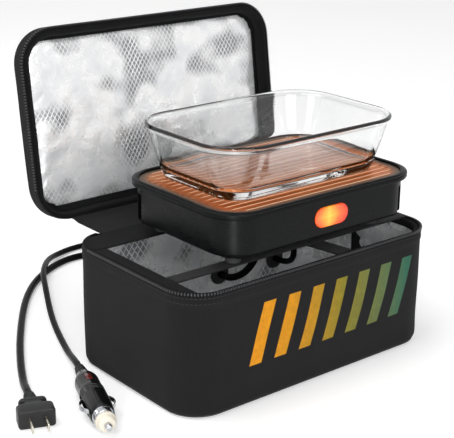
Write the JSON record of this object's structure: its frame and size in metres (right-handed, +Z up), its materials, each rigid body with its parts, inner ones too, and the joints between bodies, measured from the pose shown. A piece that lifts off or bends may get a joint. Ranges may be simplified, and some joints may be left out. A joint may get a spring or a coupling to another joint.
{
  "type": "electric lunch bag",
  "caption": "Soft insulated bag with a zip-round padded lid on a fabric hinge, a flat ribbed heating base, a glass dish, hold-down straps, a mains cord and a vehicle-socket cord.",
  "frame": {"origin": "centre of the bag's base, on the floor it stands on", "axes": "+X along the bag's length to the right, -Y towards the front, +Z up; the lid is hinged along the back"},
  "size_m": [0.424, 0.4005, 0.282],
  "materials": {
    "woven_cover": "matt woven",
    "binding_tape": "ribbed tape",
    "webbing": "matt webbing",
    "foil": "quilted foil",
    "foam": "closed-cell foam",
    "board": "matt",
    "zip_plastic": "satin",
    "zip_metal": "satin",
    "port_rubber": "matt",
    "housing": "semi-gloss moulded",
    "lip_plastic": "gloss",
    "copper_plate": "ribbed, copper-coloured",
    "element_foil": "satin",
    "mat_fibre": "soft",
    "cutout_metal": "satin",
    "circuit_board": "satin",
    "led": "clear",
    "lens_plastic": "gloss, lit",
    "screw_steel": "satin",
    "foot_rubber": "matt",
    "dish_glass": "clear",
    "cord_sheath": "semi-gloss",
    "plug_plastic": "satin",
    "blade_brass": "bright",
    "car_plug_plastic": "gloss",
    "light_lens": "clear",
    "bright_metal": "bright",
    "nose_plastic": "gloss",
    "fuse_ceramic": "glazed",
    "spring_steel": "bright"
  },
  "bodies": {
    "bag": {"bag_cover": "woven_cover", "base_board": "board", "wall_foam": "foam", "foil_liner": "foil", "rim_binding": "binding_tape", "left_facing": "binding_tape", "back_facing": "binding_tape", "long_strap": "webbing", "cross_strap": "webbing", "wall_strap": "webbing", "bag_zip_row": "zip_plastic", "cord_ports": "port_rubber", "hinge_flap": "woven_cover", "inner_leads": "cord_sheath", "ac_lead": "cord_sheath", "ac_coil": "cord_sheath", "ac_run": "cord_sheath", "ac_strain_relief": "cord_sheath", "ac_plug_body": "plug_plastic", "ac_plug_blades": "blade_brass", "dc_lead": "cord_sheath", "dc_coil": "cord_sheath", "dc_run": "cord_sheath", "dc_strain_relief": "cord_sheath", "car_plug_body": "car_plug_plastic", "car_plug_light": "light_lens", "car_plug_collar": "bright_metal", "car_plug_nose": "nose_plastic", "car_plug_spring": "spring_steel", "car_plug_fuse": "fuse_ceramic"},
    "lid": {"lid_cover": "woven_cover", "lid_foam": "foam", "lid_liner": "foil", "lid_binding": "binding_tape", "lid_zip_row": "zip_plastic", "carry_handle": "webbing"},
    "heating_base": {"heater_body": "housing", "heater_lip": "lip_plastic", "heating_plate": "copper_plate", "heating_element": "element_foil", "insulation_pad": "mat_fibre", "thermal_cutout": "cutout_metal", "control_board": "circuit_board", "indicator_led": "led", "indicator_lens": "lens_plastic", "bottom_cover": "housing", "cover_screws": "screw_steel", "rubber_feet": "foot_rubber", "lead_glands": "port_rubber"},
    "dish": {"glass_dish": "dish_glass"},
    "slider": {"zip_slider": "zip_metal"},
    "pull": {"zip_pull": "zip_metal"},
    "tip": {"car_plug_tip": "bright_metal"},
    "contact_left": {"car_contact_left": "bright_metal"},
    "contact_right": {"car_contact_right": "bright_metal"}
  },
  "joints": [
    {"name": "lid_hinge", "type": "hinge", "parent": "bag", "child": "lid", "pos_m": [0, 0.108, 0.09128], "axis": [1, 0, 0], "range_deg": [0, 98], "deforming": ["hinge_flap"]},
    {"name": "base_stow", "type": "slide", "parent": "bag", "child": "heating_base", "axis": [0, 0, -1], "range_m": [0, 0.1016], "deforming": ["long_strap", "cross_strap", "back_facing", "inner_leads"]},
    {"name": "dish_lift", "type": "slide", "parent": "heating_base", "child": "dish", "axis": [0, 0, 1], "range_m": [0, 0.01]},
    {"name": "zip_travel", "type": "slide", "parent": "bag", "child": "slider", "axis": [0, -1, 0], "range_m": [0, 0.088]},
    {"name": "pull_swing", "type": "hinge", "parent": "slider", "child": "pull", "pos_m": [0.1445, 0.044, 0.1076], "axis": [0, -1, 0], "range_deg": [0, 110]},
    {"name": "tip_press", "type": "slide", "parent": "bag", "child": "tip", "axis": [0.3567, 0.9342, 0], "range_m": [0, 0.004], "stiffness_N_per_m": 600, "springref_m": -0.003, "deforming": ["car_plug_spring"]},
    {"name": "left_contact_press", "type": "slide", "parent": "bag", "child": "contact_left", "axis": [-0.9342, 0.3567, 0], "range_m": [0, 0.0015], "stiffness_N_per_m": 1500, "springref_m": -0.0005},
    {"name": "right_contact_press", "type": "slide", "parent": "bag", "child": "contact_right", "axis": [0.9342, -0.3567, 0], "range_m": [0, 0.0015], "stiffness_N_per_m": 1500, "springref_m": -0.0005}
  ],
  "couplings": [
    {"joint": "base_stow", "follows": "lid_hinge", "m_per_rad": 0.059342}
  ]
}
